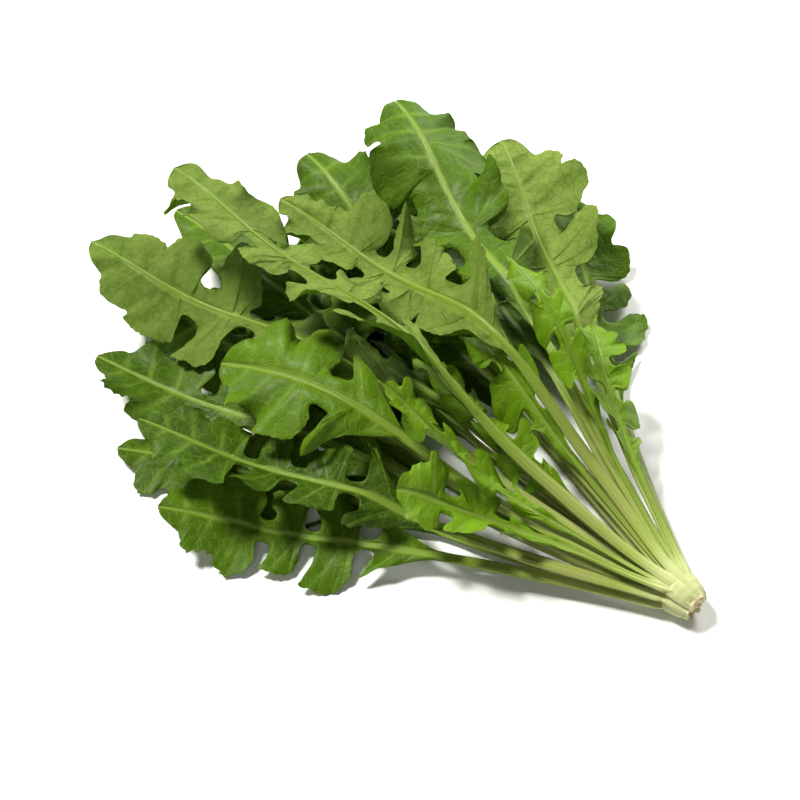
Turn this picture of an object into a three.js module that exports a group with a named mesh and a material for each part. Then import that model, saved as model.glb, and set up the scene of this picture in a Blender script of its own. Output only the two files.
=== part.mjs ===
// One head of shepherd's purse, cut through its root and laid on its side. The head is a rosette: every
// leaf grows from a short crown on a pale stalk, which runs on as its rib. The stalks fan out from the
// crown and the blades lie on each other in a loose heap. Units are millimetres and degrees, and Z is
// up.

import * as THREE from "three";

// The crown, a solid of revolution about X: how far along X, and how wide there.
const CROWN_PROFILE = [
  [0, 0],
  [0, 6.8],
  [2, 7],
  [5, 6.8],
  [8, 6.2],
  [10, 5.3],
  [11.5, 4.3],
  [11.5, 0],
];
const CROWN_SIDES = 20;
const CROWN_AXIS = 6.9; // height of the crown's axis over the surface
const STALK_GAP = 0.35; // between a stalk's end and the crown

// The heap. Stalks fan out from a point behind the crown's face, and the heap rises from the crown on.
const FAN_POINT = 12;
const HEAP_AT_CROWN = 13.8;
const HEAP_TOP = 46;
const HEAP_RISE = 105; // distance from the crown at which the heap is at its highest
const HEAP_FALL_FROM = 165;
const HEAP_FALL_OVER = 110;
const HEAP_FALL = 0.45;
const HEAP_HALF_ANGLE = 46; // at which the sides of the heap reach the surface
const HEAP_WAVE = 0.26; // of the heap's height
const SETTLE = 85; // distance over which a stalk goes from its seat to its level in the heap

// A leaf's thickness, stalk and lobes.
const BLADE = 0.9;
const STALK_WIDTH = [3.2, 4.7, 3.5]; // at the crown, a little further out, and where the blade starts
const STALK_DEPTH = [1.5, 2.7, 2.3];
const STALK_FULL_AT = 42;
const FULL_REACH = 18; // a leaf narrower than this has a thinner stalk
const RIB_AT_TIP = 0.3; // of its size where the blade starts
const WING = 1.7; // narrowest green edge beside the rib
const RUFFLE = [1.2, 2.8]; // height of a blade's waves at its edge, at the bottom and at the top of the heap
const RUFFLE_LENGTH = 5.5;
const ROW_GAP = 0.12; // smallest distance along the rib between two rows of a blade
const STALK_ROWS = 6;
const LOWER_FACE = 4; // the ring's point at which its lower face starts
const SPINE_STEPS = 60;

// A blade starts as a wedge, goes on as blocks with deep bays between them and ends in one larger lobe.
// Each is a smooth curve through points: a turn from 0 to 1 round the lobe, how far along the lobe, and
// how far out.
const WEDGE = [
  [0, 0, 0],
  [0.25, 0.3, 0.2],
  [0.48, 0.56, 0.52],
  [0.66, 0.76, 0.86],
  [0.77, 0.9, 1],
  [0.85, 0.9, 0.8],
  [0.91, 0.82, 0.46],
  [0.96, 0.83, 0.1],
  [1, 0.97, 0],
];
const BLOCK = [
  [0, 0.03, 0],
  [0.07, 0.12, 0.1],
  [0.14, 0.1, 0.38],
  [0.25, 0.1, 0.7],
  [0.4, 0.28, 0.92],
  [0.6, 0.58, 1],
  [0.75, 0.84, 0.92],
  [0.85, 0.86, 0.6],
  [0.92, 0.79, 0.3],
  [0.96, 0.82, 0.08],
  [1, 0.97, 0],
];
const END = [
  [0, 0.02, 0],
  [0.05, 0.06, 0.1],
  [0.1, 0.04, 0.4],
  [0.18, 0.07, 0.76],
  [0.28, 0.22, 1],
  [0.38, 0.4, 0.98],
  [0.46, 0.46, 0.78],
  [0.57, 0.6, 0.78],
  [0.67, 0.73, 0.7],
  [0.75, 0.77, 0.5],
  [0.86, 0.88, 0.34],
  [0.95, 0.97, 0.16],
  [1, 1, 0],
];
const END_NOTCHES = [6, 9]; // the points of END that lie between its teeth
const WEDGE_ROWS = [0, 0.25, 0.48, 0.66, 0.77, 0.87, 0.95];
const BLOCK_ROWS = [0.01, 0.1, 0.25, 0.42, 0.62, 0.8, 0.93];
const END_ROWS = [0.01, 0.12, 0.28, 0.38, 0.46, 0.57, 0.67, 0.75, 0.88, 1];

// Four kinds of blade. blade is its share of the leaf's length, reach its half width and lobes the
// number of wedge and blocks on each side. cut is how deep the bays go, and lobed the share of the blade
// before the end lobe. shrink is a lobe's length beside the one before it, small how wide the first is,
// and end how wide the end lobe is.
const BROAD = { blade: 0.56, reach: 21, lobes: 2, cut: 0.72, lobed: 0.6, shrink: 0.6, small: 0.8, end: 1.05 };
const LACY = { blade: 0.6, reach: 18, lobes: 3, cut: 0.8, lobed: 0.66, shrink: 0.72, small: 0.75, end: 0.95 };
const SIDE = { blade: 0.56, reach: 17, lobes: 3, cut: 0.84, lobed: 0.62, shrink: 0.8, small: 0.7, end: 1 };
const YOUNG = { blade: 0.6, reach: 10, lobes: 4, cut: 0.8, lobed: 0.7, shrink: 0.9, small: 0.5, end: 0.9 };

// The leaves, from the bottom of the heap to its top, and then three small ones near the crown that lie
// between those of the upper rows. fan is the way a leaf points and bend how far it turns by its tip.
// seat is its row on the crown and level its height in the heap from 0 to 1. curl lifts the tip, roll
// lifts one edge, fold lifts both, and turned says that the underside faces up.
const turned = true;
const LEAVES = [
  { ...BROAD, fan: -12, bend: 6, seat: 0, level: 0, length: 205 },
  { ...BROAD, fan: 12, bend: -5, seat: 0, level: 0, length: 198 },
  { ...LACY, fan: -23, bend: -4, seat: 1, level: 0.1, length: 200, lobes: 2 },
  { ...LACY, fan: -1, bend: 2, seat: 1, level: 0.15, length: 236 },
  { ...BROAD, fan: 22, bend: 3, seat: 1, level: 0.12, length: 205 },
  { ...SIDE, fan: -31, bend: -4, seat: 2, level: 0.3, length: 172, curl: 6 },
  { ...LACY, fan: -13, bend: 3, seat: 2, level: 0.31, length: 238 },
  { ...BROAD, fan: 8, bend: 2, seat: 2, level: 0.31, length: 228 },
  { ...SIDE, fan: 31, bend: 4, seat: 2, level: 0.24, length: 176, curl: 8 },
  { ...LACY, fan: -21, bend: 2, seat: 3, level: 0.44, length: 222, curl: 4 },
  { ...LACY, fan: -3, bend: 0, seat: 3, level: 0.47, length: 244, curl: 3 },
  { ...BROAD, fan: 17, bend: 3, seat: 3, level: 0.42, length: 214, curl: 7 },
  { ...SIDE, fan: -29, bend: 2, seat: 4, level: 0.55, length: 186, roll: -20, fold: 4, curl: 5 },
  { ...LACY, fan: -11, bend: 0, seat: 4, level: 0.63, length: 250, curl: 12, roll: 5, turned },
  { ...BROAD, fan: 7, bend: 2, seat: 4, level: 0.63, length: 226, curl: 10 },
  { ...BROAD, fan: 27, bend: 0, seat: 4, level: 0.55, length: 196, roll: 26, curl: 8, turned },
  { ...BROAD, fan: -18, bend: 0, seat: 5, level: 0.78, length: 172, blade: 0.42, lobes: 1, lobed: 0.4, fold: 6 },
  { ...YOUNG, fan: -5, bend: 1, seat: 5, level: 0.79, length: 116, reach: 8 },
  { ...BROAD, fan: 16, bend: 2, seat: 5, level: 0.78, length: 220, cut: 0.6, curl: 12, roll: 24 },
  { ...YOUNG, fan: -25, bend: -4, seat: 6, level: 0.85, length: 92, reach: 11, lobes: 2, curl: 4, fold: 3 },
  { ...LACY, fan: -8, bend: 4, seat: 6, level: 1.1, length: 232, blade: 0.62, roll: -15, curl: 6, turned },
  { ...BROAD, fan: 8, bend: -6, seat: 6, level: 0.92, length: 208, reach: 17, lobes: 3, roll: 10, turned },
  { ...YOUNG, fan: 24, bend: 5, seat: 6, level: 0.86, length: 96, lobes: 3, curl: 4, fold: 3 },
  { ...YOUNG, fan: 5, bend: 4, seat: 5, level: 0.76, length: 134, reach: 8, lobes: 3 },
  { ...YOUNG, fan: -17.9, bend: 3, seat: 6, level: 1.08, length: 108, reach: 7, lobes: 3, fold: 2 },
  { ...YOUNG, fan: 17.4, bend: -2, seat: 6, level: 1.06, length: 118, reach: 7, lobes: 3, curl: 5, fold: 2 },
];
const SEAT_ROWS = 7;

const rad = THREE.MathUtils.degToRad;
const mix = THREE.MathUtils.lerp;

function smooth(t) {
  return THREE.MathUtils.smoothstep(t, 0, 1);
}

// A number from 0 to 1 that is the same each time for the same leaf and place.
function chance(seed, place) {
  const x = Math.sin(seed * 127.1 + place * 311.7) * 43758.5453;
  return x - Math.floor(x);
}

// Height of the heap's top over a point of the surface.
function heapTop(x, y) {
  const away = Math.hypot(FAN_POINT - x, y) - FAN_POINT;
  const angle = THREE.MathUtils.radToDeg(Math.atan2(y, FAN_POINT - x));
  const rise = mix(HEAP_AT_CROWN, HEAP_TOP, smooth(away / HEAP_RISE));
  const fall = 1 - HEAP_FALL * smooth((away - HEAP_FALL_FROM) / HEAP_FALL_OVER);
  const sides = 1 - (angle / HEAP_HALF_ANGLE) ** 2 * smooth(away / HEAP_RISE);
  return rise * fall * Math.max(sides, 0.12);
}

// Slow waves that the whole heap shares, so that leaves lying on each other tilt together.
function heapWave(x, y) {
  const across = Math.sin(y / 12.5 + x / 60 + 0.6);
  const along = Math.sin(x / 19 - y / 33 + 0.9);
  return 1 + HEAP_WAVE * (0.65 * across + 0.45 * along);
}

// The line of a leaf's rib on the surface, as points and headings at even steps along the leaf.
function spineOf(leaf) {
  const step = leaf.length / SPINE_STEPS;
  let x = -STALK_GAP - (STALK_WIDTH[0] / 2) * Math.abs(Math.sin(rad(leaf.fan)));
  let y = (FAN_POINT - x) * Math.tan(rad(leaf.fan));
  const spine = [];
  for (let i = 0; i <= SPINE_STEPS; i++) {
    const heading = rad(leaf.fan + leaf.bend * (i / SPINE_STEPS) ** 2 * 3);
    spine.push({ x, y, heading });
    x -= step * Math.cos(heading);
    y += step * Math.sin(heading);
  }
  return spine;
}

// The point of the surface under the place s along a leaf and d to the side of its rib.
function underLeaf(leaf, spine, s, d) {
  const at = THREE.MathUtils.clamp((s / leaf.length) * SPINE_STEPS, 0, SPINE_STEPS);
  const i = Math.min(Math.floor(at), SPINE_STEPS - 1);
  const t = (s / leaf.length) * SPINE_STEPS - i;
  const a = spine[i];
  const b = spine[i + 1];
  const heading = mix(a.heading, b.heading, t);
  return {
    x: mix(a.x, b.x, t) + d * Math.sin(heading),
    y: mix(a.y, b.y, t) + d * Math.cos(heading),
  };
}

// How far a leaf's own waves, cupping, curl and roll lift it out of its layer of the heap.
function ownLift(leaf, s, d) {
  const start = leaf.length * (1 - leaf.blade);
  const inBlade = smooth((s - start) / 25);
  const across = Math.abs(d) / leaf.reach;
  const ruffle = Math.sin(s / RUFFLE_LENGTH + 6.28 * chance(leaf.seed, d > 0 ? 91 : 92)) * across ** 2;
  const cup = mix(-1.2, 1.8, chance(leaf.seed, 90)) * across ** 1.5;
  const roll = leaf.roll ?? 0;
  const raised = (leaf.reach + Math.sign(roll) * d) * Math.tan(rad(Math.abs(roll)));
  const curl = (leaf.curl ?? 0) * smooth((s / leaf.length - 0.68) / 0.32) ** 1.5;
  const folded = (leaf.fold ?? 0) * across;
  return inBlade * (mix(...RUFFLE, leaf.level) * ruffle + cup + raised + folded) + curl;
}

// The point of the leaf at s along it, d to the side and h above its middle surface.
function onLeaf(leaf, spine, s, d, h) {
  const { x, y } = underLeaf(leaf, spine, s, d);
  const away = Math.hypot(FAN_POINT - x, y) - FAN_POINT;
  const settled = smooth(away / SETTLE);
  const level = mix((leaf.seat + 0.5) / SEAT_ROWS, leaf.level, settled);
  const rest = level * heapTop(x, y) * mix(1, heapWave(x, y), settled);
  const low = h > 0 ? BLADE : 0;
  return new THREE.Vector3(x, y, Math.max(rest + ownLift(leaf, s, d) + h, low));
}

// How far along and how far out a smooth curve through a lobe's points is, at one turn.
function smoothCurve(points, turn) {
  let i = 0;
  while (i < points.length - 2 && turn >= points[i + 1][0]) i++;
  const slope = (j, c) => {
    const before = points[Math.max(j - 1, 0)];
    const after = points[Math.min(j + 1, points.length - 1)];
    return (after[c] - before[c]) / (after[0] - before[0]);
  };
  const gap = points[i + 1][0] - points[i][0];
  const t = (turn - points[i][0]) / gap;
  return [1, 2].map((c) => {
    const place = mix(points[i][c], points[i + 1][c], t * t * (3 - 2 * t));
    const leaving = t * (1 - t) * (1 - t) * slope(i, c);
    const arriving = t * t * (t - 1) * slope(i + 1, c);
    return place + (leaving + arriving) * gap;
  });
}

// A lobe's points, each moved a little by chance, but not the two at either end.
function varied(leaf, points, place, along, out) {
  return points.map(([turn, a, o], i) => {
    const free = i > 1 && i < points.length - 2 ? 1 : 0;
    const moved = a + along * (chance(leaf.seed, place + i + 0.25) - 0.5) * free;
    return [turn, moved, o * (1 + out * (chance(leaf.seed, place + i + 0.65) - 0.5) * free)];
  });
}

// Where lobe k starts along the leaf, and where the end lobe starts when k is the number of lobes.
function lobeStart(leaf, k) {
  const sizes = Array.from({ length: leaf.lobes }, (_, j) => leaf.shrink ** j);
  const sum = (list) => list.reduce((a, b) => a + b, 0);
  const share = sum(sizes.slice(0, k)) / sum(sizes);
  return leaf.length * (1 - leaf.blade) + leaf.length * leaf.blade * leaf.lobed * share;
}

// How far the blade still reaches out from the rib in the bay before lobe k.
function footAt(leaf, k) {
  const grown = mix(0.8, 1.1, k / leaf.lobes) * mix(0.7, 1.4, chance(leaf.seed, 10 + k));
  return k ? Math.max(leaf.reach * (1 - leaf.cut) * grown, WING) : WING;
}

// The edge of lobe k on one side, at turn from 0 in the bay before it to 1 in the bay after it.
function lobeEdge(leaf, side, k, turn) {
  const from = lobeStart(leaf, k);
  const to = lobeStart(leaf, k + 1);
  const place = 100 + 40 * k + (side > 0 ? 0 : 20);
  const [along, out] = smoothCurve(varied(leaf, k ? BLOCK : WEDGE, place, 0.1, 0.26), turn);
  const foot = mix(footAt(leaf, k), footAt(leaf, k + 1), turn);
  const grown = mix(leaf.small, 1, (k + 1) / leaf.lobes) * mix(0.8, 1.2, chance(leaf.seed, place + 0.1));
  const d = foot + (leaf.reach * grown - foot) * Math.max(out, 0);
  const lean = mix(0.1, 0.4, chance(leaf.seed, 55)) + 0.1 * (chance(leaf.seed, place + 0.35) - 0.5);
  const s = mix(from, to, along) + lean * (d - foot) * Math.sin(Math.PI * turn);
  return { r: mix(from, to, turn), s, d: side * d };
}

// The edge of the end lobe on one side, at turn from 0 in the last bay to 1 at the leaf's tip.
function endEdge(leaf, side, turn) {
  const from = lobeStart(leaf, leaf.lobes);
  const place = 400 + (side > 0 ? 0 : 20);
  const points = varied(leaf, END, place, 0.05, 0.2);
  const deep = 0.24 * chance(leaf.seed, place + 0.9);
  END_NOTCHES.forEach((i) => (points[i][2] *= 1 - deep));
  const [along, out] = smoothCurve(points, turn);
  const foot = footAt(leaf, leaf.lobes) * (1 - turn);
  const wide = leaf.reach * leaf.end * mix(0.9, 1.12, chance(leaf.seed, place + 0.1));
  const d = Math.max(foot + (wide - foot) * Math.max(out, 0), 0.5);
  return { r: mix(from, leaf.length, turn), s: mix(from, leaf.length, along), d: side * d };
}

// One side's edge of the blade, from its base to its tip: r is where on the rib the row starts, and s
// and d are where on the edge it ends.
function edgeOf(leaf, side) {
  const rows = [];
  for (let k = 0; k < leaf.lobes; k++) {
    rows.push(...(k ? BLOCK_ROWS : WEDGE_ROWS).map((turn) => lobeEdge(leaf, side, k, turn)));
  }
  rows.push(...END_ROWS.map((turn) => endEdge(leaf, side, turn)));
  return rows;
}

// Where on the rib each row of one side of the blade starts. A row runs straight from the rib to the
// edge, and no two rows may cross, so every edge point nearer to the rib has to stay on its own side of
// the row's line.
function ribPlaces(leaf, edge) {
  const room = edge.map(({ r, s, d }, i) => {
    const { half } = stalkAt(leaf, r);
    const out = Math.abs(d) - half;
    let low = -Infinity;
    let high = Infinity;
    edge.forEach((other, j) => {
      const nearer = (Math.abs(other.d) - half) / out;
      if (j === i || out < 0.3 || nearer > 0.98) return;
      const limit = (other.s - s * nearer) / (1 - nearer);
      if (j < i) low = Math.max(low, limit + ROW_GAP);
      else high = Math.min(high, limit - ROW_GAP);
    });
    return { low, high };
  });
  for (let i = room.length - 2; i >= 0; i--) {
    room[i].high = Math.min(room[i].high, room[i + 1].high - ROW_GAP);
  }
  const places = [];
  edge.forEach(({ r }, i) => {
    const low = Math.max(room[i].low, i ? places[i - 1] + ROW_GAP : -Infinity);
    places.push(Math.max(Math.min(r, room[i].high), low));
  });
  return places;
}

// Half the stalk's or rib's width, and its depth, at s along the leaf.
function stalkAt(leaf, s) {
  const start = leaf.length * (1 - leaf.blade);
  const out = smooth(s / STALK_FULL_AT);
  const on = THREE.MathUtils.clamp((s - STALK_FULL_AT) / (start - STALK_FULL_AT), 0, 1);
  const taper = mix(1, RIB_AT_TIP, THREE.MathUtils.clamp((s - start) / (leaf.length - start), 0, 1));
  const small = Math.min(1, leaf.reach / FULL_REACH);
  const size = ([crown, full, blade]) => mix(mix(crown, full, out), blade, on) * taper * small;
  return { half: size(STALK_WIDTH) / 2, depth: size(STALK_DEPTH) };
}

// A leaf as one closed loft. Each ring has two points at each edge of the blade, four beside the rib and
// two on the rib.
function leafGeometry(leaf) {
  const spine = spineOf(leaf);
  const up = leaf.turned ? -1 : 1;
  const start = leaf.length * (1 - leaf.blade);
  const rings = [];
  const addRing = (left, right, winged) => {
    const side = ({ s, d, rib }) => {
      const { half, depth } = stalkAt(leaf, rib);
      const turn = Math.sign(d);
      const edge = mix(0.12, BLADE / 2, winged);
      const beside = half * mix(0.72, 1, winged);
      const below = half * mix(0.87, 1, winged);
      const ribDepth = Math.max(depth - BLADE / 2, BLADE / 2 + 0.15);
      return {
        top: [s, d, edge],
        face: [rib, turn * beside, mix(depth * 0.42, BLADE / 2, winged)],
        under: [s, d, -edge],
        low: [rib, turn * below, -mix(depth * 0.3, BLADE / 2, winged)],
        keel: [rib, turn * 0.42 * half, -mix(depth * 0.58, ribDepth, winged)],
      };
    };
    const l = side(left);
    const r = side(right);
    rings.push(
      [r.top, r.face, l.face, l.top, l.under, l.low, l.keel, r.keel, r.low, r.under].map(([s, d, h]) =>
        onLeaf(leaf, spine, s, d, h * up),
      ),
    );
  };
  for (let i = 0; i < STALK_ROWS; i++) {
    const rib = (start - 6) * (i / (STALK_ROWS - 1));
    const { half } = stalkAt(leaf, rib);
    addRing({ s: rib, d: -half, rib }, { s: rib, d: half, rib }, 0);
  }
  const [left, right] = [-1, 1].map((turn) => {
    const edge = edgeOf(leaf, turn);
    const ribs = ribPlaces(leaf, edge);
    return edge.map((point, i) => ({ ...point, rib: ribs[i] }));
  });
  left.forEach((point, i) => addRing(point, right[i], 1));
  const widens = (edge, i) => {
    const k = i - STALK_ROWS;
    return k >= 0 && Math.abs(edge[k + 1].d) > Math.abs(edge[k].d);
  };
  return loft(rings, leaf.turned, {
    0: (i) => widens(right, i),
    2: (i) => !widens(left, i),
    4: (i) => widens(left, i),
    8: (i) => !widens(right, i),
  });
}

// A closed solid through rings with equal numbers of points, capped by a fan at each end. splits says
// for some of the ring's quads which way they are cut in two, so that the upper and lower faces of a
// blade are cut alike.
function loft(rings, mirrored, splits) {
  const points = rings.flat();
  const sides = rings[0].length;
  const faces = [];
  const addFace = (a, b, c) => faces.push(...(mirrored ? [a, b, c] : [a, c, b]));
  for (let i = 0; i + 1 < rings.length; i++) {
    for (let j = 0; j < sides; j++) {
      const a = i * sides + j;
      const b = i * sides + ((j + 1) % sides);
      const split = splits[j] ? splits[j](i) : j >= LOWER_FACE;
      addFace(a, b, split ? b + sides : a + sides);
      addFace(split ? a : b, b + sides, a + sides);
    }
  }
  const last = (rings.length - 1) * sides;
  for (let j = 1; j + 1 < sides; j++) {
    addFace(0, j + 1, j);
    addFace(last, last + j, last + j + 1);
  }
  const geometry = new THREE.BufferGeometry().setFromPoints(points);
  geometry.setIndex(faces);
  geometry.computeVertexNormals();
  return geometry;
}

// The crown is pressed flat where it rests on the surface.
function crownGeometry() {
  const profile = CROWN_PROFILE.map(([along, radius]) => new THREE.Vector2(radius, along));
  const geometry = new THREE.LatheGeometry(profile, CROWN_SIDES);
  geometry.rotateZ(-Math.PI / 2);
  geometry.rotateX(Math.PI / CROWN_SIDES);
  geometry.translate(0, 0, CROWN_AXIS);
  const position = geometry.getAttribute("position");
  for (let i = 0; i < position.count; i++) {
    position.setZ(i, Math.max(position.getZ(i), 0));
  }
  return geometry;
}

const crownPaint = new THREE.MeshStandardMaterial({ color: 0xdfe3c0, roughness: 0.55, metalness: 0 });
const leafPaint = new THREE.MeshStandardMaterial({ color: 0x5f9a2a, roughness: 0.5, metalness: 0 });

const head = new THREE.Group();
const crown = new THREE.Mesh(crownGeometry(), crownPaint);
crown.name = "crown";
head.add(crown);
LEAVES.forEach((leaf, i) => {
  const mesh = new THREE.Mesh(leafGeometry({ ...leaf, seed: i + 1 }), leafPaint);
  mesh.name = "leaf_" + String(i + 1).padStart(2, "0");
  head.add(mesh);
});

// The origin is under the middle of the head, on the surface.
const box = new THREE.Box3().setFromObject(head);
const middle = box.getCenter(new THREE.Vector3());
head.position.set(-middle.x, -middle.y, -box.min.z);

export default head;
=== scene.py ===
# %% [markdown]
# Shepherd's purse, one loose head
#
# A head of shepherd's purse is a rosette: every leaf grows from one short crown on a pale stalk, and the
# stalk runs on as the leaf's rib. This one was cut through its root and lies on its side. The CAD model
# gives each leaf's place, so this script makes a finer leaf in the same place, with veins, teeth and a
# ribbed stalk.

# %% Frame
import math

import bpy
import numpy as np
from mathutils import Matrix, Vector


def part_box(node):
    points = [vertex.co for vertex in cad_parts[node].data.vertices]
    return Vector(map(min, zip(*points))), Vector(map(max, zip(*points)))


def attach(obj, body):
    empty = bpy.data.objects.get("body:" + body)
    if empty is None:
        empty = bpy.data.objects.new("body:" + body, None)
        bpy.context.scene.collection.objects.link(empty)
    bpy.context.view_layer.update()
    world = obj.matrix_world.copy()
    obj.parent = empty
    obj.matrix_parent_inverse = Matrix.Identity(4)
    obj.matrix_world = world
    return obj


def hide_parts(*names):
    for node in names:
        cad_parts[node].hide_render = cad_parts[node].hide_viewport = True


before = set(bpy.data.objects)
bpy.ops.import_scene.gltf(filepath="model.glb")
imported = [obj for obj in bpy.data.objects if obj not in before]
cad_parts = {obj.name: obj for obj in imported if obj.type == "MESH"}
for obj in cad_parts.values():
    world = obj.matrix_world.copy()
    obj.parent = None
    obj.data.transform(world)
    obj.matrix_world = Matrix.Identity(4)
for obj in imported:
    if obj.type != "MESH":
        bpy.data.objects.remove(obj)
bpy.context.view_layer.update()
MM = 0.001
crown_low, crown_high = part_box("crown")
HOME = (crown_low.x, (crown_low.y + crown_high.y) / 2)

# %% [markdown]
# Camera
#
# The photograph looks down on the head from its root's side. A camera is easiest to place from one point
# that shows well, here the crown: its pixel in the 800 pixel frame and the scale there say how far the
# camera stands back and how far it is moved sideways. Its direction is given as two angles, as on a globe.

# %% Camera
FRAME_PIXELS = 800
CROWN_PIXEL = (688, 600)
PIXEL = 0.335 * MM
AZIMUTH = math.radians(46)
ELEVATION = math.radians(50)
LENS = 85
SENSOR = 36
CROWN_MIDDLE = 7 * MM  # how far the crown's middle is from the face that the stalks grow from

toward_camera = Vector(
    (
        math.sin(AZIMUTH) * math.cos(ELEVATION),
        -math.cos(AZIMUTH) * math.cos(ELEVATION),
        math.sin(ELEVATION),
    )
)
turned_to_view = (-toward_camera).to_track_quat("-Z", "Y")
to_the_right = turned_to_view @ Vector((1, 0, 0))
upwards = turned_to_view @ Vector((0, 1, 0))
crown_middle = Vector((HOME[0] + CROWN_MIDDLE, HOME[1], (crown_low.z + crown_high.z) / 2))
beside = (CROWN_PIXEL[0] - FRAME_PIXELS / 2) * PIXEL
below = (CROWN_PIXEL[1] - FRAME_PIXELS / 2) * PIXEL
distance = FRAME_PIXELS * PIXEL * LENS / SENSOR

camera = bpy.data.objects.new("camera", bpy.data.cameras.new("camera"))
camera.data.lens = LENS
camera.data.sensor_width = SENSOR
camera.data.clip_start = 0.01
camera.rotation_mode = "QUATERNION"
camera.rotation_quaternion = turned_to_view
camera.location = crown_middle + toward_camera * distance - to_the_right * beside + upwards * below
bpy.context.collection.objects.link(camera)
bpy.context.scene.camera = camera
print("camera distance in m:", round(distance, 3))

# %% [markdown]
# Floor and light
#
# The photograph has a plain white ground and soft light with one bright direction, which shines through
# the blades at the back. A wide sun lights the whole floor evenly and gives soft shadows, two area lamps
# shape the leaves, and a weak pale world fills the shadows. The Standard view transform is used because
# the greens of the photograph came out too pale and grey with the one that is preset.

# %% Floor and light
FLOOR_SIZE = 16
FLOOR_WHITE = (0.86, 0.87, 0.89, 1)
WORLD_WHITE = (1, 0.985, 0.9, 1)
WORLD_STRENGTH = 0.06
SUNNY_WHITE = (1, 0.985, 0.9)
LAMP_WHITE = (1, 0.99, 0.93)


def deselect_all():
    bpy.ops.object.select_all(action="DESELECT")


deselect_all()
bpy.ops.mesh.primitive_plane_add(size=FLOOR_SIZE)
floor = bpy.context.object
floor.name = "floor"
floor_paint = bpy.data.materials.new("floor_white")
floor_paint.use_nodes = True
floor_shader = floor_paint.node_tree.nodes["Principled BSDF"]
floor_shader.inputs["Base Color"].default_value = FLOOR_WHITE
floor_shader.inputs["Roughness"].default_value = 0.8
floor.data.materials.append(floor_paint)

world = bpy.data.worlds.new("studio")
world.use_nodes = True
background = world.node_tree.nodes["Background"]
background.inputs["Color"].default_value = WORLD_WHITE
background.inputs["Strength"].default_value = WORLD_STRENGTH
bpy.context.scene.world = world
bpy.context.scene.view_settings.view_transform = "Standard"


def add_lamp(kind, name, place, aim, strength, colour):
    lamp = bpy.data.objects.new(name, bpy.data.lights.new(name, kind))
    lamp.data.energy = strength
    lamp.data.color = colour
    lamp.location = place
    lamp.rotation_euler = (Vector(aim) - Vector(place)).to_track_quat("-Z", "Y").to_euler()
    bpy.context.collection.objects.link(lamp)
    return lamp.data


key = add_lamp("SUN", "key", (-0.55, -0.15, 0.85), (0, 0, 0.02), 5.5, SUNNY_WHITE)
key.angle = 0.24
back = add_lamp("AREA", "back", (-0.2, 0.75, 0.5), (0, 0.02, 0.03), 9, LAMP_WHITE)
back.size = 0.4
front = add_lamp("AREA", "front", (0.5, -0.65, 0.7), (0.05, 0, 0), 2, LAMP_WHITE)
front.size = 0.6

# %% [markdown]
# Shader maths
#
# A finish is easier to read as arithmetic than as a picture of nodes. This class holds one output of a
# node, and adding or multiplying it adds a Math node. Every other node comes from its method node.

# %% Shader maths
class Paint:
    """One output of a material's nodes. Arithmetic on it adds Math nodes."""

    def __init__(self, tree, socket=None):
        self.tree = tree
        self.socket = socket

    def node(self, kind, links=None, output=0, **settings):
        """Adds a node with its settings, sets or links its inputs by name or number, gives one output."""
        made = self.tree.nodes.new(kind)
        for name, value in settings.items():
            setattr(made, name, value)
        for name, value in (links or {}).items():
            socket = self.named(made.inputs, name)
            if isinstance(value, Paint):
                self.tree.links.new(value.socket, socket)
            else:
                socket.default_value = (*value, 1) if socket.type == "RGBA" else value
        if not made.outputs:
            return None
        return Paint(self.tree, self.named(made.outputs, output))

    def named(self, sockets, name):
        """The socket with this number, identifier or name."""
        return next(s for i, s in enumerate(sockets) if name in (i, s.identifier, s.name))

    def maths(self, operation, first, second):
        return self.node("ShaderNodeMath", {0: first, 1: second}, operation=operation)

    def __add__(self, other):
        return self.maths("ADD", self, other)

    __radd__ = __add__

    def __mul__(self, other):
        return self.maths("MULTIPLY", self, other)

    __rmul__ = __mul__

    def __sub__(self, other):
        return self.maths("SUBTRACT", self, other)

    def __rsub__(self, other):
        return self.maths("SUBTRACT", other, self)

    def between(self, low, high):
        """0 where this is low and 1 where it is high, with a smooth step between them."""
        links = {"Value": self, "From Min": low, "From Max": high}
        return self.node("ShaderNodeMapRange", links, interpolation_type="SMOOTHSTEP")

    def blend(self, first, second):
        """The first colour where this is 0, and the second where it is 1."""
        links = {"Factor_Float": self, "A_Color": first, "B_Color": second}
        return self.node("ShaderNodeMix", links, output="Result_Color", data_type="RGBA")

    def attribute(self, name):
        return self.node("ShaderNodeAttribute", output="Fac", attribute_name=name)

    def noise(self, where, scale, detail=2.0, roughness=0.5):
        links = {"Vector": where, "Scale": scale, "Detail": detail, "Roughness": roughness}
        return self.node("ShaderNodeTexNoise", links)

    def net(self, where, scale, width):
        """1 on the lines of an irregular net, 0 inside its meshes."""
        links = {"Vector": where, "Scale": scale}
        away = self.node("ShaderNodeTexVoronoi", links, output="Distance", feature="DISTANCE_TO_EDGE")
        return 1 - away.between(0.0, width)


def new_material(name):
    material = bpy.data.materials.new(name)
    material.use_nodes = True
    material.node_tree.nodes.clear()
    return material, Paint(material.node_tree)


# %% [markdown]
# The leaf's finish
#
# A leaf has a slightly glossy green upper side, a pale matte underside and a stalk that fades from cream at
# the crown to green at the blade. The mesh carries these facts as attributes: upper, rib, vein, along and
# tone. The net of the finest veins is drawn on the leaf laid flat, which the UV map holds in decimetres. A
# blade also lets light through, so a part of its shader is translucent, and the rib lets less through.

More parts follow.
